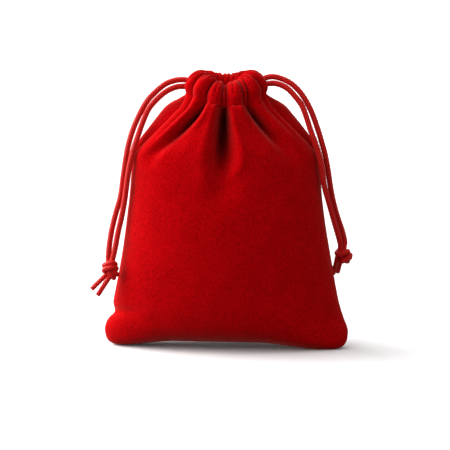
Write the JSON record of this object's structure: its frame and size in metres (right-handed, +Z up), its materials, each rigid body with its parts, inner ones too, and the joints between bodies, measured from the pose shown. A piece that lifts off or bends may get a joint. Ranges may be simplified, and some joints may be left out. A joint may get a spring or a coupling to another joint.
{
  "type": "drawstring pouch",
  "caption": "Small velvet drawstring pouch, standing filled, its folded casing gathered shut on two doubled braided cords that are knotted at the sides.",
  "frame": {"origin": "on the ground, under the middle of the pouch", "axes": "+Z up from the bottom seam to the mouth, front panel towards -Y, +X to the right as seen from the front"},
  "size_m": [0.1073, 0.0491, 0.1126],
  "materials": {
    "velvet": "short-pile velvet, matt with a light sheen at grazing angles",
    "braided_cord": "smooth round braid with a soft sheen"
  },
  "bodies": {
    "root": {"front_panel": "velvet", "back_panel": "velvet", "left_drawcord": "braided_cord", "right_drawcord": "braided_cord"}
  },
  "joints": []
}
